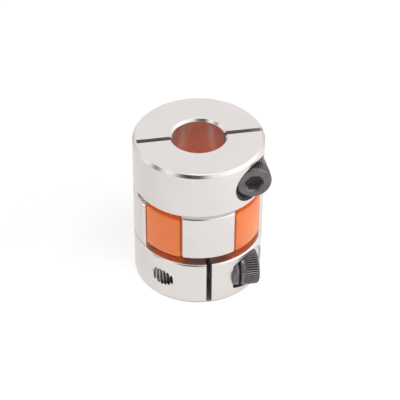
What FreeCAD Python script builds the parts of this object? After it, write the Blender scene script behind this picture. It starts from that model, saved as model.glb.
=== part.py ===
import FreeCAD, Part
import math
import os

# Clamp-type jaw coupling, 20 mm diameter by 25 mm long, 8 mm bores.
# Frame: origin at the centre of the lower end face, +Z along the coupling axis.
# The lower hub's clamp slit opens towards -Y and its screw lies along X.
# The upper hub is the same part turned over, so its slit opens towards +X
# and its screw lies along Y.

# ---- overall ----
D = 20.0                 # hub outside diameter
L = 25.0                 # overall length
R = D / 2.0
EDGE = 0.45              # edge break on the outside corners

# ---- hub body ----
BORE_R = 4.0
BORE_CH_OUT = 0.35       # bore chamfer at the shaft end
BORE_CH_IN = 0.25        # bore chamfer at the jaw end
BODY_H = 7.8             # end face to jaw floor

# ---- jaws, two per hub ----
JAW_TIP = 15.9           # end face to jaw tip
JAW_HALF_DEG = 24.7      # half width of a jaw, flanks are radial planes
JAW_RI = 5.2             # inner radius of a jaw
JAW_EDGE = 0.45          # chamfer on jaw edges

# ---- shallow groove turned where the jaws leave the body ----
GROOVE_Z0 = 7.55
GROOVE_Z1 = 8.35
GROOVE_DEEP = 0.15

# ---- clamp slit ----
SLIT_W = 0.85
SLIT_CLOSED_R = 9.40     # the slit stops here and leaves a thin web

# ---- clamp screw pocket and holes ----
SCREW_OFF = 7.1          # distance of the screw axis from the coupling axis
SCREW_Z = 4.05           # height of the screw axis above the end face
CBORE_R = 3.08
SEAT_X = 3.9             # counterbore seat
CLEAR_R = 1.70
TAP_R = 1.46             # crest radius of the tapped hole
TAP_ROOT_R = 1.62
TAP_PITCH = 0.5
TAP_NARROW_X = -4.3      # past here the hole has its full thread, which the screw never reaches
TAP_NARROW_R = 1.25
TAP_NARROW_ROOT_R = 1.50

# ---- M3 x 8 socket head cap screw ----
HEAD_R = 2.72
HEAD_H = 3.0
HEAD_CH = 0.42
SHANK_R = 1.44
SHANK_L = 8.0
SHANK_CH = 0.35
HEX_AF = 2.5
HEX_DEPTH = 1.6
LOWER_PROUD = 1.2        # how far the head stands off its seat; the lower screw isn't quite tight
UPPER_PROUD = 0.9

# ---- split lock washer under each screw head, lying on the seat ----
WASHER_RO = 2.65
WASHER_RI = 1.60
WASHER_T = 0.85
WASHER_CH = 0.07
WASHER_SPLIT = 0.35      # width of the split
WASHER_SLANT_DEG = 18.0  # the split slants across the washer's thickness

# ---- spider ----
LEG_R = 9.75
LEG_HALF_DEG = 19.1
RING_RO = 4.9
RING_RI = 3.6
SPIDER_Z0 = 8.85
SPIDER_Z1 = 16.15
RING_Z0 = 9.25
RING_Z1 = 15.75
LEG_ROUND = 0.30


def V(x, y, z):
    return FreeCAD.Vector(x, y, z)


def revolve(points):
    """Solid of revolution about Z from (r, z) points."""
    wire = Part.makePolygon([V(r, 0, z) for r, z in points] + [V(points[0][0], 0, points[0][1])])
    return Part.Face(wire).revolve(V(0, 0, 0), V(0, 0, 1), 360)


def sector(half_deg, mid_deg, ri, ro, z0, z1):
    """Sector of a ring between two radial planes, angles measured from +X."""
    a0 = math.radians(mid_deg - half_deg)
    am = math.radians(mid_deg)
    a1 = math.radians(mid_deg + half_deg)

    def p(r, a):
        return V(r * math.cos(a), r * math.sin(a), z0)

    outer = Part.Arc(p(ro, a0), p(ro, am), p(ro, a1)).toShape()
    inner = Part.Arc(p(ri, a1), p(ri, am), p(ri, a0)).toShape()
    wire = Part.Wire([outer, Part.makeLine(p(ro, a1), p(ri, a1)), inner, Part.makeLine(p(ri, a0), p(ro, a0))])
    return Part.Face(wire).extrude(V(0, 0, z1 - z0))


def jaw(mid_deg):
    """One jaw, chamfered on its free edges, rooted in the body."""
    s = sector(JAW_HALF_DEG, mid_deg, JAW_RI, R, BODY_H - 1.0, JAW_TIP)
    edges = []
    for e in s.Edges:
        zs = [v.Z for v in e.Vertexes]
        if min(zs) > JAW_TIP - 0.01:
            edges.append(e)
        elif abs(zs[0] - zs[1]) > 1.0:
            edges.append(e)
    return s.makeChamfer(JAW_EDGE, edges)


def hub():
    """The lower hub in place; the upper hub is this part turned over."""
    body = revolve([
        (0, 0), (R - EDGE, 0), (R, EDGE), (R, BODY_H), (0, BODY_H)])
    shape = body.fuse(jaw(0.0)).fuse(jaw(180.0))
    # shallow flat-bottomed groove, which also leaves the chamfer on the body's inner edge
    over = 0.2
    ring = revolve([
        (R + over, GROOVE_Z0 - over), (R - GROOVE_DEEP, GROOVE_Z0 + GROOVE_DEEP),
        (R - GROOVE_DEEP, GROOVE_Z1 - GROOVE_DEEP), (R + over, GROOVE_Z1 + over)])
    shape = shape.cut(ring)
    # bore with its two chamfers
    bore = revolve([
        (0, -1), (BORE_R + BORE_CH_OUT + 1, -1), (BORE_R, BORE_CH_OUT), (BORE_R, BODY_H - BORE_CH_IN),
        (BORE_R + BORE_CH_IN + 1, BODY_H + 1), (0, BODY_H + 1)])
    shape = shape.cut(bore)
    # clamp slit, open towards -Y, stopping short of the wall on the +Y side
    slit = Part.makeBox(SLIT_W, R + 1 + SLIT_CLOSED_R, BODY_H + 2, V(-SLIT_W / 2.0, -R - 1, -1))
    shape = shape.cut(slit)
    # counterbore, clearance hole and tapped hole along X
    axis0 = V(0, -SCREW_OFF, SCREW_Z)
    cbore = Part.makeCylinder(CBORE_R, R, V(SEAT_X, -SCREW_OFF, SCREW_Z), V(1, 0, 0))
    clear = Part.makeCylinder(CLEAR_R, SEAT_X + 0.5, V(-0.1, -SCREW_OFF, SCREW_Z), V(1, 0, 0))
    tap = Part.makeCylinder(TAP_R, -TAP_NARROW_X, axis0, V(-1, 0, 0)).fuse(
        Part.makeCylinder(TAP_NARROW_R, R + 1, axis0, V(-1, 0, 0)))
    shape = shape.cut(cbore).cut(clear).cut(tap)
    # thread turns of the tapped hole, as rings at the thread pitch
    x = -SLIT_W / 2.0 - 0.35
    while x > -8.2:
        narrow = x < TAP_NARROW_X + 0.1
        crest, root = (TAP_NARROW_R, TAP_NARROW_ROOT_R) if narrow else (TAP_R, TAP_ROOT_R)
        g = Part.makePolygon([
            V(x - 0.19, crest - 0.04, 0), V(x - 0.03, root, 0), V(x + 0.03, root, 0),
            V(x + 0.19, crest - 0.04, 0), V(x - 0.19, crest - 0.04, 0)])
        turn = Part.Face(g).revolve(V(0, 0, 0), V(1, 0, 0), 360)
        turn.translate(V(0, -SCREW_OFF, SCREW_Z))
        shape = shape.cut(turn)
        x -= TAP_PITCH
    return shape


def cap_screw():
    """Cap screw with its head seat at the origin and its head towards +X."""
    head = Part.Face(Part.makePolygon([
        V(0, 0, 0), V(0, HEAD_R - 0.12, 0), V(0.12, HEAD_R, 0), V(HEAD_H - HEAD_CH, HEAD_R, 0),
        V(HEAD_H - 0.10, HEAD_R - 0.14, 0), V(HEAD_H, HEAD_R - HEAD_CH, 0), V(HEAD_H, 0, 0), V(0, 0, 0)]))
    head = head.revolve(V(0, 0, 0), V(1, 0, 0), 360)
    shank = Part.Face(Part.makePolygon([
        V(0.5, 0, 0), V(0.5, SHANK_R, 0), V(-SHANK_L + SHANK_CH, SHANK_R, 0),
        V(-SHANK_L, SHANK_R - SHANK_CH, 0), V(-SHANK_L, 0, 0), V(0.5, 0, 0)]))
    shank = shank.revolve(V(0, 0, 0), V(1, 0, 0), 360)
    s = head.fuse(shank)
    rc = HEX_AF / math.sqrt(3.0)
    pts = [V(HEAD_H - HEX_DEPTH, rc * math.cos(math.radians(a)), rc * math.sin(math.radians(a)))
           for a in range(0, 361, 60)]
    socket = Part.Face(Part.makePolygon(pts)).extrude(V(HEX_DEPTH + 1, 0, 0))
    s = s.cut(socket)
    # drill point at the bottom of the socket and a lead-in at its mouth
    rb = HEX_AF / 2.0
    s = s.cut(Part.makeCone(0.0, rb, rb * 0.5, V(HEAD_H - HEX_DEPTH - rb * 0.5, 0, 0), V(1, 0, 0)))
    s = s.cut(Part.makeCone(rb, rc + 0.10, rc + 0.10 - rb, V(HEAD_H - (rc + 0.06 - rb), 0, 0), V(1, 0, 0)))
    return s


def lock_washer():
    """Split washer lying on the plane X = 0, its split on the +Y side."""
    ring = Part.Face(Part.makePolygon([
        V(0, WASHER_RI, 0), V(0, WASHER_RO - WASHER_CH, 0), V(WASHER_CH, WASHER_RO, 0), V(WASHER_T - WASHER_CH, WASHER_RO, 0),
        V(WASHER_T, WASHER_RO - WASHER_CH, 0), V(WASHER_T, WASHER_RI, 0), V(0, WASHER_RI, 0)]))
    ring = ring.revolve(V(0, 0, 0), V(1, 0, 0), 360)
    gap = Part.makeBox(WASHER_T * 3, WASHER_RO + 1, WASHER_SPLIT, V(-WASHER_T, 0, -WASHER_SPLIT / 2.0))
    gap.rotate(V(WASHER_T / 2.0, 0, 0), V(0, 1, 0), WASHER_SLANT_DEG)
    return ring.cut(gap)


def spider():
    """Four legs on a thin central ring, one moulding."""
    shape = revolve([
        (RING_RI + 0.2, RING_Z0), (RING_RO, RING_Z0), (RING_RO, RING_Z1), (RING_RI + 0.2, RING_Z1),
        (RING_RI, RING_Z1 - 0.2), (RING_RI, RING_Z0 + 0.2)])
    for mid in (45.0, 135.0, 225.0, 315.0):
        leg = sector(LEG_HALF_DEG, mid, (RING_RI + RING_RO) / 2.0, LEG_R, SPIDER_Z0, SPIDER_Z1)
        rmid = (RING_RI + RING_RO) / 2.0
        edges = []
        for e in leg.Edges:
            c = e.CenterOfMass
            rr = math.hypot(c.x, c.y)
            zs = [v.Z for v in e.Vertexes]
            horizontal = abs(zs[0] - zs[1]) < 0.01
            if horizontal or rr > LEG_R - 0.3:
                edges.append(e)
        leg = leg.makeFillet(LEG_ROUND, edges)
        shape = shape.fuse(leg)
    shape = shape.removeSplitter()
    return shape


def turned_over(s):
    """Half turn about a horizontal line midway up: (x, y, z) -> (-y, -x, L - z)."""
    t = s.copy()
    t.rotate(V(0, 0, L / 2.0), V(1, -1, 0), 180)
    return t


os.makedirs("parts", exist_ok=True)

lower_hub = hub()
upper_hub = turned_over(lower_hub)
spider_shape = spider()

lower_screw = cap_screw()
lower_screw.translate(V(SEAT_X + LOWER_PROUD, -SCREW_OFF, SCREW_Z))

upper_screw = cap_screw()
upper_screw.translate(V(SEAT_X + UPPER_PROUD, -SCREW_OFF, SCREW_Z))
upper_screw = turned_over(upper_screw)

lower_washer = lock_washer()
lower_washer.translate(V(SEAT_X, -SCREW_OFF, SCREW_Z))
upper_washer = turned_over(lower_washer)

for name, shape in (("lower_hub", lower_hub), ("upper_hub", upper_hub), ("spider", spider_shape),
                    ("lower_clamp_screw", lower_screw), ("upper_clamp_screw", upper_screw),
                    ("lower_lock_washer", lower_washer), ("upper_lock_washer", upper_washer)):
    if len(shape.Solids) == 1:
        shape = shape.Solids[0]
    print(name, "solids", len(shape.Solids) or 1, "valid", shape.isValid(), "vol %.2f" % shape.Volume,
          "bbox", shape.BoundBox)
    shape.exportStep("parts/%s.step" % name)
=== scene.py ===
import math

import bmesh
import bpy
from mathutils import Matrix, Vector


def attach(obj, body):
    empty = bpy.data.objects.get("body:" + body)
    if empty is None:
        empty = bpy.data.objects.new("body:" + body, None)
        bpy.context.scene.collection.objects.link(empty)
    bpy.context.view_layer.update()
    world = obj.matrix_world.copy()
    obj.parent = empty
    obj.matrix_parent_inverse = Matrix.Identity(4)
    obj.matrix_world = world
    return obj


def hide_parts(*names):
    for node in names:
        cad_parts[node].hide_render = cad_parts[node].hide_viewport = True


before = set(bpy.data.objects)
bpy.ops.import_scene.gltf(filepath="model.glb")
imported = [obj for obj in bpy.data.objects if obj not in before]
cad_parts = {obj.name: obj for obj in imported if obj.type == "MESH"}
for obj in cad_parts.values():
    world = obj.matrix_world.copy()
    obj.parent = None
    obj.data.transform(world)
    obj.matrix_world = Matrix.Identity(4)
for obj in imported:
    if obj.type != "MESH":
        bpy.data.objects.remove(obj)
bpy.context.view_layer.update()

# ------------------------------------------------------------------ sizes, mm
R, L = 10.0, 25.0
BORE_R = 4.0
BODY_H = 7.8
JAW_TIP = 15.9
JAW_HALF = math.radians(24.7)
JAW_RI = 5.2
EDGE = 0.45
GROOVE_Z0, GROOVE_Z1, GROOVE_DEEP = 7.55, 8.35, 0.15
SLIT_W = 0.85
SLIT_CLOSED = 9.40
SCREW_OFF, SCREW_Z = 7.1, 4.05
CBORE_R, SEAT_X, CLEAR_R = 3.08, 3.9, 1.70
TAP_CREST, TAP_ROOT, PITCH = 1.47, 1.63, 0.5
NARROW_X, NARROW_CREST, NARROW_ROOT = -4.3, 1.25, 1.53
HEAD_R, HEAD_H = 2.72, 3.0
SHANK_R, SHANK_ROOT, SHANK_L = 1.44, 1.17, 8.0
HEX_AF, HEX_DEPTH = 2.5, 1.6
LOWER_PROUD, UPPER_PROUD = 1.2, 0.9
WASHER_RO, WASHER_RI, WASHER_T, WASHER_SPLIT, WASHER_SLANT = 2.65, 1.60, 0.85, 0.35, math.radians(18.0)
LEG_R, LEG_HALF = 9.75, math.radians(19.1)
RING_RO, RING_RI = 4.9, 3.6
SP_Z0, SP_Z1, RING_Z0, RING_Z1 = 8.85, 16.15, 9.25, 15.75

scene = bpy.context.scene
coll = scene.collection


# ------------------------------------------------------------------ mesh help
def new_obj(name, verts, faces):
    me = bpy.data.meshes.new(name)
    me.from_pydata([tuple(v) for v in verts], [], [tuple(f) for f in faces])
    me.validate()
    ob = bpy.data.objects.new(name, me)
    coll.objects.link(ob)
    return ob


def fix_normals(ob):
    bm = bmesh.new()
    bm.from_mesh(ob.data)
    bmesh.ops.remove_doubles(bm, verts=bm.verts, dist=1e-6)
    bmesh.ops.recalc_face_normals(bm, faces=bm.faces)
    bm.to_mesh(ob.data)
    bm.free()
    return ob


def revolve(name, prof, n=192, axis="Z", centre=(0, 0, 0), phase=0.0):
    """Closed solid of revolution from an open profile of (radius, height); both ends close on the axis or on each other."""
    verts, rings = [], []
    for r, h in prof:
        if r < 1e-9:
            rings.append([len(verts)])
            verts.append((0.0, 0.0, h))
        else:
            rings.append(list(range(len(verts), len(verts) + n)))
            for i in range(n):
                a = 2 * math.pi * i / n + phase
                verts.append((r * math.cos(a), r * math.sin(a), h))
    faces = []
    pairs = list(zip(rings, rings[1:]))
    if len(rings[0]) > 1 and len(rings[-1]) > 1:
        pairs.append((rings[-1], rings[0]))
    for a, b in pairs:
        for i in range(n):
            j = (i + 1) % n
            if len(a) == 1 and len(b) == 1:
                continue
            if len(a) == 1:
                faces.append((a[0], b[i], b[j]))
            elif len(b) == 1:
                faces.append((a[i], a[j], b[0]))
            else:
                faces.append((a[i], a[j], b[j], b[i]))
    ob = new_obj(name, [turn(v, axis, centre) for v in verts], faces)
    return fix_normals(ob)


def turn(v, axis, centre=(0, 0, 0)):
    x, y, z = v
    if axis == "X":
        x, y, z = z, x, y
    elif axis == "-X":
        x, y, z = -z, -x, y
    return (x + centre[0], y + centre[1], z + centre[2])


def prism_stack(name, layers):
    """Solid through closed outlines with the same number of points, each a list of (x, y, z)."""
    n = len(layers[0])
    verts = [p for ring in layers for p in ring]
    faces = [tuple(range(n))[::-1], tuple((len(layers) - 1) * n + i for i in range(n))]
    for k in range(len(layers) - 1):
        for i in range(n):
            j = (i + 1) % n
            faces.append((k * n + i, k * n + j, (k + 1) * n + j, (k + 1) * n + i))
    return fix_normals(new_obj(name, verts, faces))


def box(name, lo, hi):
    (x0, y0, z0), (x1, y1, z1) = lo, hi
    v = [(x0, y0, z0), (x1, y0, z0), (x1, y1, z0), (x0, y1, z0), (x0, y0, z1), (x1, y0, z1), (x1, y1, z1), (x0, y1, z1)]
    f = [(3, 2, 1, 0), (4, 5, 6, 7), (0, 1, 5, 4), (1, 2, 6, 5), (2, 3, 7, 6), (3, 0, 4, 7)]
    return new_obj(name, v, f)


def boolean(target, cutter, op="DIFFERENCE"):
    m = target.modifiers.new("b", "BOOLEAN")
    m.operation, m.solver, m.object = op, "EXACT", cutter
    dg = bpy.context.evaluated_depsgraph_get()
    me = bpy.data.meshes.new_from_object(target.evaluated_get(dg), depsgraph=dg)
    target.modifiers.clear()
    old = target.data
    target.data = me
    bpy.data.meshes.remove(old)
    cm = cutter.data
    bpy.data.objects.remove(cutter)
    bpy.data.meshes.remove(cm)
    return target


def smooth_by_angle(ob, deg):
    bm = bmesh.new()
    bm.from_mesh(ob.data)
    bmesh.ops.remove_doubles(bm, verts=bm.verts, dist=2e-5)
    bmesh.ops.dissolve_degenerate(bm, dist=1e-5, edges=bm.edges)
    lim = math.radians(deg)
    for f in bm.faces:
        f.smooth = True
    for e in bm.edges:
        e.smooth = not (len(e.link_faces) != 2 or e.calc_face_angle(0.0) > lim)
    bm.to_mesh(ob.data)
    bm.free()


def finish_piece(ob, mat, body, nodes, deg=24):
    smooth_by_angle(ob, deg)
    ob.data.transform(Matrix.Scale(0.001, 4))
    ob.data.materials.clear()
    ob.data.materials.append(mat)
    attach(ob, body)
    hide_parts(*nodes)
    return ob


def copy_turned(ob, name):
    """The same piece after a half turn about a level line midway up: (x, y, z) -> (-y, -x, L - z)."""
    me = ob.data.copy()
    o = bpy.data.objects.new(name, me)
    coll.objects.link(o)
    me.transform(Matrix(((0, -1, 0, 0), (-1, 0, 0, 0), (0, 0, -1, L), (0, 0, 0, 1))))
    return o


# ------------------------------------------------------------------ hub
def jaw_outline(mid, inset, z, corner=0.30):
    """Outline of one jaw, drawn in by inset, with its four upright corners cut."""
    ro, ri = R - inset, JAW_RI + inset
    na = 28

    def on_flank(r, side, d):
        # a point at radius r on the flank plane moved in by d
        a = JAW_HALF * side
        rr = math.sqrt(max(r * r - d * d, 0.0))
        return (rr * math.cos(a) + side * d * math.sin(a), rr * math.sin(a) - side * d * math.cos(a))

    pts = []
    # side -1 flank from the inside out
    pts.append(on_flank(ri + corner, -1, inset))
    pts.append(on_flank(ro - corner, -1, inset))
    p = on_flank(ro, -1, inset + corner)
    a0 = math.atan2(p[1], p[0])
    for i in range(na + 1):
        a = a0 + (-2 * a0) * i / na
        pts.append((ro * math.cos(a), ro * math.sin(a)))
    pts.append(on_flank(ro - corner, 1, inset))
    pts.append(on_flank(ri + corner, 1, inset))
    p = on_flank(ri, 1, inset + corner)
    a1 = math.atan2(p[1], p[0])
    ni = 14
    for i in range(ni + 1):
        a = a1 - 2 * a1 * i / ni
        pts.append((ri * math.cos(a), ri * math.sin(a)))
    c, s = math.cos(mid), math.sin(mid)
    return [(x * c - y * s, x * s + y * c, z) for x, y in pts]


def jaw(mid):
    ch = 0.30
    layers = [jaw_outline(mid, 0.0, BODY_H - 0.6), jaw_outline(mid, 0.0, JAW_TIP - ch),
              jaw_outline(mid, 0.045, JAW_TIP - ch * 0.55), jaw_outline(mid, 0.16, JAW_TIP - ch * 0.2),
              jaw_outline(mid, ch, JAW_TIP)]
    return prism_stack("jaw", layers)


def thread_cutter(name, crest, root, x_from, x_to, centre):
    """A threaded plug along -X: a bar of radius crest with a helical ridge out to root."""
    n, step = 72, PITCH / 12.0
    rows = int(round((x_to - x_from) / step)) + 1
    verts, faces = [], []
    for k in range(rows):
        x = x_from + k * step
        for i in range(n):
            a = 2 * math.pi * i / n
            ph = (x / PITCH - i / n) % 1.0
            t = abs(ph - 0.5) * 2.0                      # 0 at the ridge's middle, 1 at the bar
            u = min(max((0.86 - t) / 0.72, 0.0), 1.0)
            r = crest + (root - crest) * u
            verts.append((x + centre[0], r * math.cos(a) + centre[1], r * math.sin(a) + centre[2]))
    for k in range(rows - 1):
        for i in range(n):
            j = (i + 1) % n
            faces.append((k * n + i, k * n + j, (k + 1) * n + j, (k + 1) * n + i))
    faces.append(tuple(range(n))[::-1])
    faces.append(tuple((rows - 1) * n + i for i in range(n)))
    return fix_normals(new_obj(name, verts, faces))


def make_hub():
    seg = 256
    w = 0.025                                          # the last bit of rounding left on a turned corner
    body = revolve("hub", [
        (0, 0), (R - EDGE - w, 0), (R - EDGE + 0.7 * w, 0.7 * w), (R - 0.7 * w, EDGE - 0.7 * w), (R, EDGE + w),
        (R, BODY_H), (0, BODY_H)], seg)
    body = boolean(body, box("slit", (-SLIT_W / 2, -R - 1, -1), (SLIT_W / 2, SLIT_CLOSED, BODY_H + 1)))
    body = boolean(body, jaw(0.0), "UNION")
    body = boolean(body, jaw(math.pi), "UNION")
    g = GROOVE_DEEP - 0.003
    ring = revolve("ring", [
        (R + 0.3, GROOVE_Z0 - 0.3), (R - g, GROOVE_Z0 + g), (R - g, GROOVE_Z1 - g), (R + 0.3, GROOVE_Z1 + 0.3)], seg)
    body = boolean(body, ring)
    bore = revolve("bore", [
        (0, -1), (BORE_R + 0.35 + 1, -1), (BORE_R + 0.02, 0.33), (BORE_R, 0.37), (BORE_R, BODY_H - 0.25),
        (BORE_R + 0.25 + 1, BODY_H + 1), (0, BODY_H + 1)], seg)
    body = boolean(body, bore)
    cb = revolve("cb", [(0, SEAT_X), (CBORE_R - 0.15, SEAT_X), (CBORE_R, SEAT_X + 0.15), (CBORE_R, R + 1), (0, R + 1)], 128,
                 "X", (0, -SCREW_OFF, SCREW_Z))
    body = boolean(body, cb)
    cl = revolve("cl", [(0, -0.1), (CLEAR_R, -0.1), (CLEAR_R, SEAT_X - 0.12), (CLEAR_R + 0.16, SEAT_X + 0.04), (0, SEAT_X + 0.04)],
                 96, "X", (0, -SCREW_OFF, SCREW_Z))
    body = boolean(body, cl)
    body = boolean(body, thread_cutter("tap", TAP_CREST, TAP_ROOT, NARROW_X, 0.1, (0, -SCREW_OFF, SCREW_Z)))
    body = boolean(body, thread_cutter("tap", NARROW_CREST, NARROW_ROOT, -R - 1, NARROW_X + 0.1, (0, -SCREW_OFF, SCREW_Z)))
    mark_cuts(body)
    return body


def mark_cuts(ob):
    """Face values for the material: sawn slit walls, drilled and tapped holes, the bore, the groove, faces inside the
    joint. The groove's floor and the thread roots carry painted shade; the bore, the counterbore and the faces inside
    the joint carry painted light.
    """
    me = ob.data
    for name in ("sawn", "drilled", "bore_painted_light", "inner", "groove_painted_shade", "counterbore_painted_light", "thread_root_painted_shade", "polish_and_painted_light"):
        me.attributes.new(name, "FLOAT", "FACE")
    sawn, drilled, bore_painted_light, inner, groove_painted_shade, counterbore_painted_light, thread_root_painted_shade = (
        me.attributes[name] for name in ("sawn", "drilled", "bore_painted_light", "inner", "groove_painted_shade", "counterbore_painted_light", "thread_root_painted_shade"))
    for f in me.polygons:
        c, n = f.center, f.normal
        d = math.hypot(c.y + SCREW_OFF, c.z - SCREW_Z)
        rad = math.hypot(c.x, c.y)
        if R - GROOVE_DEEP - 0.01 < rad < R - GROOVE_DEEP + 0.02 and BODY_H + 0.05 < c.z < GROOVE_Z1 and abs(n.z) < 0.3:
            groove_painted_shade.data[f.index].value = 1.0
            continue
        if rad > R - 0.06 or c.z < 0.01:
            continue
        if abs(n.x) > 0.95 and 0.40 < abs(c.x) < 0.45:
            sawn.data[f.index].value = 1.0
        elif d < 1.72 and abs(c.x) > 0.3:
            drilled.data[f.index].value = 1.0
            if c.x < 0.1 and d > (1.44 if c.x < NARROW_X else 1.56):
                thread_root_painted_shade.data[f.index].value = 1.0
        elif d < CBORE_R + 0.02 and c.x > SEAT_X - 0.05:
            counterbore_painted_light.data[f.index].value = 1.0
        elif rad < BORE_R + 0.01 and abs(n.z) < 0.2:
            bore_painted_light.data[f.index].value = 1.0
        elif (c.z > 7.0 and abs(n.z) > 0.95) or (c.z > BODY_H and rad < R - 0.35):
            inner.data[f.index].value = 1.0


# ------------------------------------------------------------------ cap screw
def screw_mesh(name):
    """Head seat at the origin, head towards +X. The head's knurl and the shank's thread are real relief."""
    nk, per = 44, 6                                    # knurl ridges and points to each
    n = nk * per
    rows = []                                          # (x, radius function of the point's index)

    def plain(r):
        return lambda i: r

    def knurl(r, d):
        def f(i):
            t = abs(((i % per) / per) - 0.5) * 2.0      # 1 at a groove, 0 on the ridge
            return r - d * min(1.0, max(0.0, (t - 0.2) / 0.7))
        return f

    hr = HEAD_R
    rows += [(0.0, plain(hr - 0.22)), (0.06, plain(hr - 0.12)), (0.16, plain(hr - 0.06)), (0.22, plain(hr - 0.05)),
             (0.58, plain(hr - 0.05)), (0.64, plain(hr - 0.09)), (0.70, plain(hr - 0.15)), (0.76, plain(hr - 0.17)),
             (0.84, knurl(hr, 0.17)), (0.94, knurl(hr, 0.20)), (1.6, knurl(hr, 0.20)),
             (2.50, knurl(hr, 0.20)), (2.62, knurl(hr - 0.015, 0.16)), (2.72, knurl(hr - 0.06, 0.09)), (2.78, plain(hr - 0.13)),
             (2.86, plain(hr - 0.20)), (2.92, plain(hr - 0.275)), (2.965, plain(hr - 0.36)),
             (2.99, plain(hr - 0.45)), (3.0, plain(hr - 0.55)), (3.0, plain(1.9))]
    verts, faces = [], []
    for x, f in rows:
        for i in range(n):
            a = 2 * math.pi * i / n
            r = f(i)
            verts.append((x, r * math.cos(a), r * math.sin(a)))
    m = len(rows)
    for k in range(m - 1):
        for i in range(n):
            j = (i + 1) % n
            faces.append((k * n + i, k * n + j, (k + 1) * n + j, (k + 1) * n + i))
    faces.append(tuple((m - 1) * n + i for i in range(n)))
    faces.append(tuple(range(n))[::-1])
    head = fix_normals(new_obj(name, verts, faces))

    # hex socket with broached walls, a lead-in cone and a drilled floor
    rc = HEX_AF / math.sqrt(3.0)
    ring = []
    for c in range(6):
        a0 = math.radians(60 * c)
        # slightly rounded corners
        for da in (-0.05, 0.0, 0.05):
            a = a0 + da
            rr = HEX_AF / 2 / math.cos((abs(da) if abs(da) < math.pi / 6 else 0) - math.pi / 6) if da else rc * 0.988
            ring.append((rr * math.cos(a), rr * math.sin(a)))
    hexa = prism_stack("hexa", [[(x, y, z) for y, z in ring] for x in (HEAD_H - HEX_DEPTH, HEAD_H + 0.5)])
    head = boolean(head, hexa)
    rb = HEX_AF / 2 * 0.985
    drill = revolve("drill", [(0, HEAD_H - HEX_DEPTH - rb * 0.5), (rb, HEAD_H - HEX_DEPTH + 0.002), (rb, HEAD_H - HEX_DEPTH + 0.1),
                              (0, HEAD_H - HEX_DEPTH + 0.1)], 96, "X")
    head = boolean(head, drill)
    lead = revolve("lead", [(0, HEAD_H - 0.22), (rc - 0.14, HEAD_H - 0.22), (rc + 0.20, HEAD_H + 0.12), (0, HEAD_H + 0.12)], 96, "X")
    head = boolean(head, lead)

    # shank: plain neck, then a rolled thread with a chamfered tip
    nt, step = 72, PITCH / 12.0
    x0, x1 = -SHANK_L, 0.4
    cnt = int(round((x1 - x0) / step)) + 1
    verts, faces = [], []
    for k in range(cnt):
        x = x0 + k * step
        for i in range(nt):
            a = 2 * math.pi * i / nt
            ph = (x / PITCH - i / nt) % 1.0
            t = abs(ph - 0.5) * 2.0
            u = min(max((t - 0.14) / 0.70, 0.0), 1.0)   # 0 in the groove, 1 on the crest
            r = SHANK_ROOT + (SHANK_R - SHANK_ROOT) * u
            if x > -0.75:                               # run-out under the head
                w = min((x + 0.75) / 0.3, 1.0)
                r = r * (1 - w) + 1.34 * w
            lim = SHANK_R - 0.38 + (x - x0) * 1.0       # tip chamfer
            r = min(r, lim)
            verts.append((x, r * math.cos(a), r * math.sin(a)))
    for k in range(cnt - 1):
        for i in range(nt):
            j = (i + 1) % nt
            faces.append((k * nt + i, k * nt + j, (k + 1) * nt + j, (k + 1) * nt + i))
    faces.append(tuple(range(nt))[::-1])
    faces.append(tuple((cnt - 1) * nt + i for i in range(nt)))
    shank = fix_normals(new_obj("shank", verts, faces))
    screw = boolean(head, shank, "UNION")
    me = screw.data
    for key in ("floor", "walls", "groove"):
        me.attributes.new(key, "FLOAT", "FACE")
    socket_floor_shade_v, socket_walls_lit_v, knurl_groove_shade_v = (me.attributes[key] for key in ("floor", "walls", "groove"))
    for f in me.polygons:
        x, r = f.center.x, math.hypot(f.center.y, f.center.z)
        if 0.5 < x < HEAD_H - 0.23 and r < rc + 0.02:
            (socket_floor_shade_v if abs(f.normal.x) > 0.3 else socket_walls_lit_v).data[f.index].value = 1.0
        elif 0.8 < x < 2.7 and hr - 0.30 < r < hr - 0.09:
            knurl_groove_shade_v.data[f.index].value = 1.0
    return screw


# ------------------------------------------------------------------ lock washer
def washer_mesh(name):
    """Split washer lying on the plane X = 0, rolled from square wire, its slanting split on the +Y side."""
    c, t = 0.07, WASHER_T
    sec = [(0.0, WASHER_RI + c), (0.0, WASHER_RO - c), (0.02, WASHER_RO - 0.02), (c, WASHER_RO), (t - c, WASHER_RO),
           (t - 0.02, WASHER_RO - 0.02), (t, WASHER_RO - c), (t, WASHER_RI + c), (t - 0.02, WASHER_RI + 0.02),
           (t - c, WASHER_RI), (c, WASHER_RI), (0.02, WASHER_RI + 0.02)]
    steps, m = 150, len(sec)
    verts, faces = [], []
    for k in range(steps + 1):
        for x, r in sec:
            shift = (x - t / 2) * math.tan(WASHER_SLANT) / r
            half = WASHER_SPLIT / 2 / math.cos(WASHER_SLANT) / r
            a0, a1 = shift + half, 2 * math.pi + shift - half
            a = a0 + (a1 - a0) * k / steps
            verts.append((x, r * math.cos(a), r * math.sin(a)))
    for k in range(steps):
        for i in range(m):
            j = (i + 1) % m
            faces.append((k * m + i, k * m + j, (k + 1) * m + j, (k + 1) * m + i))
    faces.append(tuple(range(m)))
    faces.append(tuple(steps * m + i for i in range(m))[::-1])
    return fix_normals(new_obj(name, verts, faces))


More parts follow.
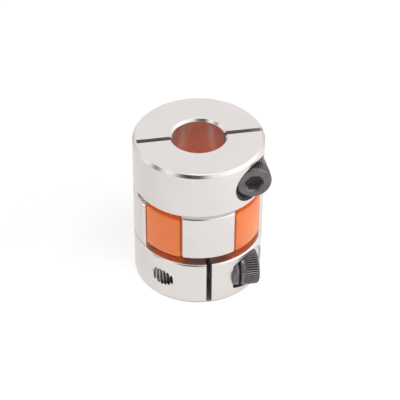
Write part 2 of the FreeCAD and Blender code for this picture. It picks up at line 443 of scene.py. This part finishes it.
# ------------------------------------------------------------------ spider
def leg_outline(mid, inset, z, rin=4.1):
    ro = LEG_R - inset
    corner = 0.32

    def on_side(r, side, d):
        a = LEG_HALF * side
        rr = math.sqrt(max(r * r - d * d, 0.0))
        return (rr * math.cos(a) + side * d * math.sin(a), rr * math.sin(a) - side * d * math.cos(a))

    pts = [on_side(rin, -1, inset)]
    # rounded outer corners
    steps = 5
    for side in (-1, 1):
        pa = on_side(ro - corner, side, inset)
        pb = on_side(ro, side, inset + corner)
        ab = math.atan2(pb[1], pb[0])
        pb = (ro * math.cos(ab), ro * math.sin(ab))
        pc = on_side(ro, side, inset)
        arc = []
        for i in range(steps + 1):
            t = i / steps
            arc.append(((1 - t) ** 2 * pa[0] + 2 * t * (1 - t) * pc[0] + t * t * pb[0],
                        (1 - t) ** 2 * pa[1] + 2 * t * (1 - t) * pc[1] + t * t * pb[1]))
        if side == -1:
            pts += arc
            a_from = ab
        else:
            na = 22
            for i in range(1, na):
                a = a_from + (ab - a_from) * i / na
                pts.append((ro * math.cos(a), ro * math.sin(a)))
            pts += arc[::-1]
    pts.append(on_side(rin, 1, inset))
    c, s = math.cos(mid), math.sin(mid)
    return [(x * c - y * s, x * s + y * c, z) for x, y in pts]


def make_spider():
    rr = 0.30
    body = revolve("spider", [
        (RING_RI + 0.06, RING_Z0), (RING_RO, RING_Z0), (RING_RO, RING_Z1), (RING_RI + 0.06, RING_Z1),
        (RING_RI + 0.015, RING_Z1 - 0.05), (RING_RI, RING_Z1 - 0.2), (RING_RI, RING_Z0 + 0.2), (RING_RI + 0.015, RING_Z0 + 0.05)], 160)
    for q in range(4):
        mid = math.radians(45 + 90 * q)
        layers = []
        for t in (0, 20, 45, 70, 90):
            a = math.radians(t)
            layers.append(leg_outline(mid, rr * (1 - math.sin(a)), SP_Z0 + rr * (1 - math.cos(a))))
        for t in (90, 70, 45, 20, 0):
            a = math.radians(t)
            layers.append(leg_outline(mid, rr * (1 - math.sin(a)), SP_Z1 - rr * (1 - math.cos(a))))
        body = boolean(body, prism_stack("leg", layers), "UNION")
    return body


# ------------------------------------------------------------------ materials
def material(name):
    m = bpy.data.materials.new(name)
    m.use_nodes = True
    nt = m.node_tree
    nt.nodes.clear()
    out = nt.nodes.new("ShaderNodeOutputMaterial")
    bsdf = nt.nodes.new("ShaderNodeBsdfPrincipled")
    nt.links.new(bsdf.outputs[0], out.inputs[0])
    return m, nt, bsdf


def node(nt, kind, **kw):
    n = nt.nodes.new(kind)
    for k, v in kw.items():
        setattr(n, k, v)
    return n


def noise(nt, coord, scale, detail=3.0, rough=0.5):
    n = node(nt, "ShaderNodeTexNoise")
    n.inputs["Scale"].default_value = scale
    n.inputs["Detail"].default_value = detail
    n.inputs["Roughness"].default_value = rough
    nt.links.new(coord, n.inputs["Vector"])
    return n.outputs["Fac"]


def math_node(nt, op, a, b=None, c=None):
    n = node(nt, "ShaderNodeMath", operation=op)
    for i, v in enumerate((a, b, c)):
        if v is None:
            continue
        if isinstance(v, (int, float)):
            n.inputs[i].default_value = v
        else:
            nt.links.new(v, n.inputs[i])
    return n.outputs[0]


def map_range(nt, v, a, b, c, d):
    n = node(nt, "ShaderNodeMapRange")
    n.clamp = True
    nt.links.new(v, n.inputs["Value"])
    for k, x in zip(("From Min", "From Max", "To Min", "To Max"), (a, b, c, d)):
        n.inputs[k].default_value = x
    return n.outputs["Result"]


def mix_colour(nt, fac, a, b):
    n = node(nt, "ShaderNodeMix", data_type="RGBA")
    for sock, v in ((n.inputs[0], fac), (n.inputs[6], a), (n.inputs[7], b)):
        if isinstance(v, (int, float)):
            sock.default_value = v
        elif isinstance(v, tuple):
            sock.default_value = (*v, 1.0)
        else:
            nt.links.new(v, sock)
    return n.outputs[2]


def edge_wear_and_highlight_mask(nt, radius):
    """1 along edges, 0 on open faces: worn edges on the aluminium, painted highlights on the spider and the screws."""
    bev = node(nt, "ShaderNodeBevel", samples=6)
    bev.inputs["Radius"].default_value = radius
    geo = node(nt, "ShaderNodeNewGeometry")
    dot = node(nt, "ShaderNodeVectorMath", operation="DOT_PRODUCT")
    nt.links.new(bev.outputs[0], dot.inputs[0])
    nt.links.new(geo.outputs["Normal"], dot.inputs[1])
    return map_range(nt, dot.outputs["Value"], 0.995, 0.90, 0.0, 1.0)


def attribute(nt, name):
    n = node(nt, "ShaderNodeAttribute", attribute_type="GEOMETRY", attribute_name=name)
    return n.outputs["Fac"]


def scaled(nt, coord, s):
    n = node(nt, "ShaderNodeVectorMath", operation="MULTIPLY")
    nt.links.new(coord, n.inputs[0])
    n.inputs[1].default_value = s
    return n.outputs[0]


def aluminium():
    m, nt, b = material("machined_aluminium")
    tc = node(nt, "ShaderNodeTexCoord")
    co = tc.outputs["Object"]
    sep = node(nt, "ShaderNodeSeparateXYZ")
    nt.links.new(co, sep.inputs[0])
    x, y, z = sep.outputs
    rad = math_node(nt, "SQRT", math_node(nt, "ADD", math_node(nt, "MULTIPLY", x, x), math_node(nt, "MULTIPLY", y, y)))
    # turning feed marks: rings on flat faces, lines round the outside, each drifting a little
    comb = node(nt, "ShaderNodeCombineXYZ")
    nt.links.new(rad, comb.inputs[0])
    nt.links.new(z, comb.inputs[1])
    feed = noise(nt, scaled(nt, comb.outputs[0], (1, 1, 1)), 9000.0, 2.0, 0.6)
    feed_fine = noise(nt, scaled(nt, comb.outputs[0], (1, 1, 1)), 26000.0, 2.0, 0.6)
    grain = noise(nt, co, 22000.0, 2.0, 0.6)
    smudge = noise(nt, co, 260.0, 4.0, 0.55)
    blotch = noise(nt, co, 900.0, 3.0, 0.6)
    edge_wear_and_highlight = edge_wear_and_highlight_mask(nt, 0.00007)
    base = mix_colour(nt, map_range(nt, smudge, 0.3, 0.7, 0.0, 1.0), (0.640, 0.609, 0.592), (0.668, 0.637, 0.620))
    base = mix_colour(nt, map_range(nt, feed, 0.35, 0.65, 0.0, 0.25), base, (0.614, 0.584, 0.568))
    base = mix_colour(nt, math_node(nt, "MULTIPLY", edge_wear_and_highlight, 0.45), base, (0.77, 0.755, 0.74))
    sawn, drilled, bore_painted_light, inner, groove_painted_shade, counterbore_painted_light = (
        attribute(nt, n) for n in ("sawn", "drilled", "bore_painted_light", "inner", "groove_painted_shade", "counterbore_painted_light"))
    # painted light: the counterbore's faces are paler than the outside, lightening the shade inside it
    base = mix_colour(nt, counterbore_painted_light, base, (0.80, 0.78, 0.77))
    # painted shade: a dark line along the counterbore's edge at the hub's outside
    counterbore_rim_painted_shade = math_node(nt, "MULTIPLY", counterbore_painted_light, map_range(nt, rad, 0.00972, 0.00985, 0.0, 0.75))
    base = mix_colour(nt, counterbore_rim_painted_shade, base, (0.20, 0.19, 0.19))
    # painted light: faces inside the joint are paler than the outside, lightening the shade between the hubs
    base = mix_colour(nt, math_node(nt, "MULTIPLY", inner, 0.9), base, (0.84, 0.82, 0.80))
    # polished faces: smoother, and painted paler as painted light
    polish_and_painted_light = attribute(nt, "polish_and_painted_light")
    base = mix_colour(nt, polish_and_painted_light, base, (0.98, 0.97, 0.96))
    # painted shade: the groove's floor is darker
    base = mix_colour(nt, math_node(nt, "MULTIPLY", groove_painted_shade, 0.8), base, (0.42, 0.40, 0.39))
    saw_marks = noise(nt, scaled(nt, co, (1, 0.2, 1)), 14000.0, 2.0, 0.6)
    base = mix_colour(nt, math_node(nt, "MULTIPLY", sawn, 0.92), base,
                      mix_colour(nt, map_range(nt, saw_marks, 0.35, 0.65, 0.0, 1.0), (0.52, 0.485, 0.475), (0.68, 0.64, 0.63)))
    base = mix_colour(nt, math_node(nt, "MULTIPLY", drilled, 0.8), base, (0.64, 0.61, 0.60))
    # painted shade: the tapped thread's roots are darker
    base = mix_colour(nt, math_node(nt, "MULTIPLY", attribute(nt, "thread_root_painted_shade"), 0.95), base, (0.19, 0.17, 0.17))
    # painted light: the bore is paler than the outside
    base = mix_colour(nt, bore_painted_light, base, (0.81, 0.78, 0.77))
    nt.links.new(base, b.inputs["Base Color"])
    b.inputs["Metallic"].default_value = 1.0
    r = math_node(nt, "ADD", map_range(nt, blotch, 0.3, 0.7, 0.27, 0.33), map_range(nt, feed_fine, 0.3, 0.7, 0.0, 0.05))
    # the turned edge breaks and groove flanks are cut bright, smoother than the tumbled faces
    nsep = node(nt, "ShaderNodeSeparateXYZ")
    nt.links.new(tc.outputs["Normal"], nsep.inputs[0])
    nz = math_node(nt, "ABSOLUTE", nsep.outputs[2])
    cut = math_node(nt, "MULTIPLY", map_range(nt, nz, 0.25, 0.45, 0.0, 1.0), map_range(nt, nz, 0.88, 0.98, 1.0, 0.0))
    r = math_node(nt, "SUBTRACT", r, math_node(nt, "MULTIPLY", cut, 0.17))
    r = math_node(nt, "ADD", r, math_node(nt, "MULTIPLY", sawn, 0.16))
    r = math_node(nt, "ADD", r, math_node(nt, "MULTIPLY", drilled, 0.12))
    r = math_node(nt, "SUBTRACT", r, math_node(nt, "MULTIPLY", polish_and_painted_light, 0.10))
    r = math_node(nt, "SUBTRACT", r, math_node(nt, "MULTIPLY", bore_painted_light, 0.02))
    r = math_node(nt, "ADD", r, math_node(nt, "MULTIPLY", counterbore_painted_light, 0.20))
    nt.links.new(r, b.inputs["Roughness"])
    h = math_node(nt, "ADD", math_node(nt, "MULTIPLY", feed, 0.6), math_node(nt, "MULTIPLY", feed_fine, 0.4))
    h = math_node(nt, "ADD", h, math_node(nt, "MULTIPLY", grain, 0.35))
    bump = node(nt, "ShaderNodeBump")
    bump.inputs["Strength"].default_value = 0.25
    bump.inputs["Distance"].default_value = 0.000004
    nt.links.new(h, bump.inputs["Height"])
    soft = node(nt, "ShaderNodeBevel", samples=6)
    soft.inputs["Radius"].default_value = 0.00005
    nt.links.new(soft.outputs[0], bump.inputs["Normal"])
    nt.links.new(bump.outputs[0], b.inputs["Normal"])
    return m


def polyurethane():
    m, nt, b = material("orange_polyurethane")
    tc = node(nt, "ShaderNodeTexCoord")
    co = tc.outputs["Object"]
    cloud = noise(nt, co, 180.0, 3.0, 0.5)
    fine = noise(nt, co, 9000.0, 2.0, 0.6)
    skin = noise(nt, co, 1600.0, 3.0, 0.6)
    edge_wear_and_highlight = edge_wear_and_highlight_mask(nt, 0.00012)
    base = mix_colour(nt, map_range(nt, cloud, 0.3, 0.7, 0.0, 1.0), (0.715, 0.166, 0.027), (0.755, 0.184, 0.032))
    # painted highlight: the legs' rounded edges are painted a paler orange
    base = mix_colour(nt, math_node(nt, "MULTIPLY", edge_wear_and_highlight, 0.35), base, (0.84, 0.28, 0.09))
    nt.links.new(base, b.inputs["Base Color"])
    nt.links.new(map_range(nt, skin, 0.3, 0.7, 0.30, 0.40), b.inputs["Roughness"])
    b.inputs["IOR"].default_value = 1.50
    b.inputs["Subsurface Weight"].default_value = 0.7
    b.inputs["Subsurface Radius"].default_value = (0.0030, 0.0008, 0.0003)
    # painted glow: emission in the ring and on the legs' ends, standing in for light let through the legs into the ring
    # and onto their undersides
    sep = node(nt, "ShaderNodeSeparateXYZ")
    nt.links.new(co, sep.inputs[0])
    x, y, z = sep.outputs
    rad = math_node(nt, "SQRT", math_node(nt, "ADD", math_node(nt, "MULTIPLY", x, x), math_node(nt, "MULTIPLY", y, y)))
    ring = map_range(nt, rad, 0.0039, 0.0050, 1.0, 0.0)
    mid_z = math_node(nt, "ABSOLUTE", math_node(nt, "SUBTRACT", z, 0.0125))
    ends = math_node(nt, "MULTIPLY", map_range(nt, mid_z, 0.0031, 0.0036, 0.0, 0.12), map_range(nt, rad, 0.0096, 0.0088, 0.0, 1.0))
    nt.links.new(mix_colour(nt, ring, (1.0, 0.22, 0.09), (1.0, 0.40, 0.31)), b.inputs["Emission Color"])
    nt.links.new(math_node(nt, "MAXIMUM", ends, math_node(nt, "MULTIPLY", ring, 0.19)), b.inputs["Emission Strength"])
    b.inputs["Subsurface Scale"].default_value = 1.0
    bump = node(nt, "ShaderNodeBump")
    bump.inputs["Strength"].default_value = 0.2
    bump.inputs["Distance"].default_value = 0.00001
    nt.links.new(math_node(nt, "ADD", math_node(nt, "MULTIPLY", fine, 0.5), skin), bump.inputs["Height"])
    nt.links.new(bump.outputs[0], b.inputs["Normal"])
    return m


def black_oxide():
    m, nt, b = material("black_oxide_steel")
    tc = node(nt, "ShaderNodeTexCoord")
    co = tc.outputs["Object"]
    cloud = noise(nt, co, 700.0, 3.0, 0.6)
    grain = noise(nt, co, 12000.0, 2.0, 0.6)
    edge_wear_and_highlight = edge_wear_and_highlight_mask(nt, 0.00006)
    base = mix_colour(nt, map_range(nt, cloud, 0.35, 0.65, 0.0, 1.0), (0.098, 0.087, 0.094), (0.137, 0.122, 0.130))
    # painted highlight: the knurl's crests and the heads' edges are painted a paler grey
    base = mix_colour(nt, math_node(nt, "MULTIPLY", edge_wear_and_highlight, 0.7), base, (0.42, 0.39, 0.40))
    # painted shade: the knurl's grooves are darker
    base = mix_colour(nt, math_node(nt, "MULTIPLY", attribute(nt, "groove"), 0.85), base, (0.030, 0.027, 0.030))
    # painted shade: the socket's floor is darker
    base = mix_colour(nt, math_node(nt, "MULTIPLY", attribute(nt, "floor"), 0.80), base, (0.066, 0.058, 0.063))
    # painted light: the socket's walls are paler than the rest of the head
    base = mix_colour(nt, math_node(nt, "MULTIPLY", attribute(nt, "walls"), 0.80), base, (0.30, 0.27, 0.29))
    nt.links.new(base, b.inputs["Base Color"])
    b.inputs["Metallic"].default_value = 0.75
    # painted glow: a faint emission lifts the black
    b.inputs["Emission Color"].default_value = (1.0, 0.92, 0.95, 1.0)
    b.inputs["Emission Strength"].default_value = 0.006
    nt.links.new(math_node(nt, "ADD", map_range(nt, grain, 0.3, 0.7, 0.20, 0.32),
                           math_node(nt, "MULTIPLY", attribute(nt, "walls"), 0.15)), b.inputs["Roughness"])
    bump = node(nt, "ShaderNodeBump")
    bump.inputs["Strength"].default_value = 0.25
    bump.inputs["Distance"].default_value = 0.000006
    nt.links.new(grain, bump.inputs["Height"])
    soft = node(nt, "ShaderNodeBevel", samples=6)
    soft.inputs["Radius"].default_value = 0.00004
    nt.links.new(soft.outputs[0], bump.inputs["Normal"])
    nt.links.new(bump.outputs[0], b.inputs["Normal"])
    return m


ALU, PU, OXIDE = aluminium(), polyurethane(), black_oxide()

# ------------------------------------------------------------------ pieces
lower_hub = make_hub()
lower_hub.name = "lower_hub_detail"
upper_hub = copy_turned(lower_hub, "upper_hub_detail")
# the upper hub's jaw tips go without the painted light of the faces inside the joint; its floor and the lower hub's jaw
# tips are polished, smoother and painted paler as painted light
for f in upper_hub.data.polygons:
    if abs(f.center.z - (L - JAW_TIP)) < 0.05:
        upper_hub.data.attributes["inner"].data[f.index].value = 0.0
    elif abs(f.center.z - (L - BODY_H)) < 0.05 and abs(f.normal.z) > 0.95:
        upper_hub.data.attributes["polish_and_painted_light"].data[f.index].value = 1.0
for f in lower_hub.data.polygons:
    if abs(f.center.z - JAW_TIP) < 0.05 and abs(f.normal.z) > 0.95:
        lower_hub.data.attributes["polish_and_painted_light"].data[f.index].value = 0.5

spider = make_spider()
spider.name = "spider_detail"

lower_screw = screw_mesh("lower_clamp_screw_detail")
upper_screw = bpy.data.objects.new("upper_clamp_screw_detail", lower_screw.data.copy())
coll.objects.link(upper_screw)
# each screw is turned by its own angle in its thread, so their sockets don't line up
turn_low, turn_up = math.radians(11.0), math.radians(-6.0)
lower_screw.data.transform(Matrix.Translation((SEAT_X + LOWER_PROUD, -SCREW_OFF, SCREW_Z)) @ Matrix.Rotation(turn_low, 4, "X"))
upper_screw.data.transform(Matrix.Translation((SEAT_X + UPPER_PROUD, -SCREW_OFF, SCREW_Z)) @ Matrix.Rotation(turn_up, 4, "X"))
upper_screw.data.transform(Matrix(((0, -1, 0, 0), (-1, 0, 0, 0), (0, 0, -1, L), (0, 0, 0, 1))))

lower_washer = washer_mesh("lower_lock_washer_detail")
lower_washer.data.transform(Matrix.Translation((SEAT_X, -SCREW_OFF, SCREW_Z)))
upper_washer = copy_turned(lower_washer, "upper_lock_washer_detail")

finish_piece(lower_hub, ALU, "lower_hub", ["lower_hub"], 17)
finish_piece(upper_hub, ALU, "upper_hub", ["upper_hub"], 17)
finish_piece(spider, PU, "spider", ["spider"], 35)
finish_piece(lower_screw, OXIDE, "lower_clamp_screw", ["lower_clamp_screw"], 32)
finish_piece(upper_screw, OXIDE, "upper_clamp_screw", ["upper_clamp_screw"], 32)
finish_piece(lower_washer, OXIDE, "lower_hub", ["lower_lock_washer"], 32)
finish_piece(upper_washer, OXIDE, "upper_hub", ["upper_lock_washer"], 32)

# ------------------------------------------------------------------ floor, light, camera
floor = new_obj("floor", [(-3, -3, 0), (3, -3, 0), (3, 3, 0), (-3, 3, 0)], [(0, 1, 2, 3)])
fm, fnt, fb = material("floor_white")
fb.inputs["Base Color"].default_value = (0.25, 0.25, 0.25, 1)
fb.inputs["Roughness"].default_value = 0.9
fb.inputs["Specular IOR Level"].default_value = 0.1
fb.inputs["Emission Color"].default_value = (1.0, 0.992, 0.985, 1)
floor.data.materials.append(fm)

AZ, EL, DIST, ROLL, F_PX = -9.9, 39.305, 0.250828, 0.286, 1622.555


def toward(az, el):
    """Direction at an azimuth measured from the camera's and an elevation."""
    a, e = math.radians(AZ + az), math.radians(el)
    return Vector((math.sin(a) * math.cos(e), -math.cos(a) * math.cos(e), math.sin(e)))


# the paper's emission paints its light: brighter in front of and to the right of the object, falling off behind it and
# far away, with a painted shadow under the object's footprint
fpos = node(fnt, "ShaderNodeTexCoord").outputs["Object"]
fdot = node(fnt, "ShaderNodeVectorMath", operation="DOT_PRODUCT")
fnt.links.new(fpos, fdot.inputs[0])
fdot.inputs[1].default_value = toward(32, 0)
flen = node(fnt, "ShaderNodeVectorMath", operation="LENGTH")
fnt.links.new(fpos, flen.inputs[0])
footprint_painted_shadow = map_range(fnt, flen.outputs["Value"], 0.0094, 0.0099, 0.02, 1.0)
near_painted_light = math_node(fnt, "MULTIPLY", map_range(fnt, flen.outputs["Value"], 0.0100, 0.0240, 1.0, 0.0),
                 map_range(fnt, fdot.outputs["Value"], -0.014, 0.004, -0.10, 0.11))
fside = node(fnt, "ShaderNodeVectorMath", operation="DOT_PRODUCT")
fnt.links.new(fpos, fside.inputs[0])
fside.inputs[1].default_value = toward(95, 0)
near_painted_light = math_node(fnt, "ADD", near_painted_light, math_node(fnt, "MULTIPLY", map_range(fnt, fside.outputs["Value"], 0.008, 0.030, 0.0, 0.10),
                                             map_range(fnt, flen.outputs["Value"], 0.05, 0.15, 1.0, 0.0)))
far = map_range(fnt, flen.outputs["Value"], 0.08, 0.35, 1.0, 0.72)
fnt.links.new(math_node(fnt, "MULTIPLY", math_node(fnt, "MULTIPLY", footprint_painted_shadow, far), math_node(fnt, "ADD", near_painted_light, map_range(
    fnt, fdot.outputs["Value"], -0.020, 0.028, 0.66, 0.84))), fb.inputs["Emission Strength"])

world = bpy.data.worlds.new("studio")
scene.world = world
world.use_nodes = True
wnt = world.node_tree
wnt.nodes.clear()
wout = wnt.nodes.new("ShaderNodeOutputWorld")
wbg = wnt.nodes.new("ShaderNodeBackground")
wnt.links.new(wbg.outputs[0], wout.inputs[0])
wdir = wnt.nodes.new("ShaderNodeTexCoord").outputs["Generated"]


def lobe(az, el, width, amp):
    """A soft round patch of the studio's tent, width in degrees to where it has fallen to a third."""
    d = node(wnt, "ShaderNodeVectorMath", operation="DOT_PRODUCT")
    wnt.links.new(wdir, d.inputs[0])
    d.inputs[1].default_value = toward(az, el)
    k = 1.0 / (1.0 - math.cos(math.radians(width)))
    e = math_node(wnt, "EXPONENT", math_node(wnt, "MULTIPLY", math_node(wnt, "SUBTRACT", d.outputs["Value"], 1.0), k))
    return math_node(wnt, "MULTIPLY", e, amp)


sky = None
for az, el, width, amp in [
        (85, 35, 50, 0.55),       # big soft box on the right
        (0, 84, 11, 8.0),         # small lamp overhead
        (70, 10, 20, 1.2),        # card low on the right
        (-5, 20, 22, -0.80),      # the unlit room behind the camera
        (-53, 46, 10, 0.36), (-98, 28, 14, 0.20),     # panels on the left
        (-13, 51, 15, -0.88), (-32, 49, 9, -0.46), (7, 52, 8, -0.42),      # the gap above the lens
        (-79, 37, 7, -0.85)]:
    t = lobe(az, el, width, amp)
    sky = t if sky is None else math_node(wnt, "ADD", sky, t)
# the tent is a little darker low down, so that pale edges stand off it
wsep = node(wnt, "ShaderNodeSeparateXYZ")
wnt.links.new(wdir, wsep.inputs[0])
sky = math_node(wnt, "MAXIMUM", math_node(wnt, "ADD", sky, map_range(wnt, wsep.outputs[2], 0.0, 0.45, 0.885, 1.07)), 0.05)
tint = mix_colour(wnt, map_range(wnt, sky, 0.2, 1.0, 0.0, 1.0), (0.92, 0.84, 0.80), (1.0, 1.0, 1.0))
wnt.links.new(tint, wbg.inputs["Color"])
wnt.links.new(sky, wbg.inputs["Strength"])

cam_data = bpy.data.cameras.new("cam")
cam = bpy.data.objects.new("cam", cam_data)
coll.objects.link(cam)
a, e = math.radians(AZ), math.radians(EL)
back = Vector((math.sin(a) * math.cos(e), -math.cos(a) * math.cos(e), math.sin(e)))
right = Vector((math.cos(a), math.sin(a), 0.0))
up = back.cross(right)
ro = math.radians(ROLL)
r2 = math.cos(ro) * right + math.sin(ro) * up
u2 = -math.sin(ro) * right + math.cos(ro) * up
pos = Vector((0, 0, 0.0125)) + back * DIST
cam.matrix_world = Matrix(((r2.x, u2.x, back.x, pos.x), (r2.y, u2.y, back.y, pos.y), (r2.z, u2.z, back.z, pos.z), (0, 0, 0, 1)))
cam_data.sensor_width = 36.0
cam_data.lens = F_PX / 400.0 * 36.0
cam_data.shift_x = 1.709 / 400.0
cam_data.shift_y = 0.045 / 400.0
cam_data.clip_start = 0.005
cam_data.clip_end = 20.0
scene.camera = cam

scene.view_settings.view_transform = "Standard"
scene.view_settings.look = "None"
scene.cycles.max_bounces = 16
scene.cycles.glossy_bounces = 12
scene.cycles.diffuse_bounces = 6
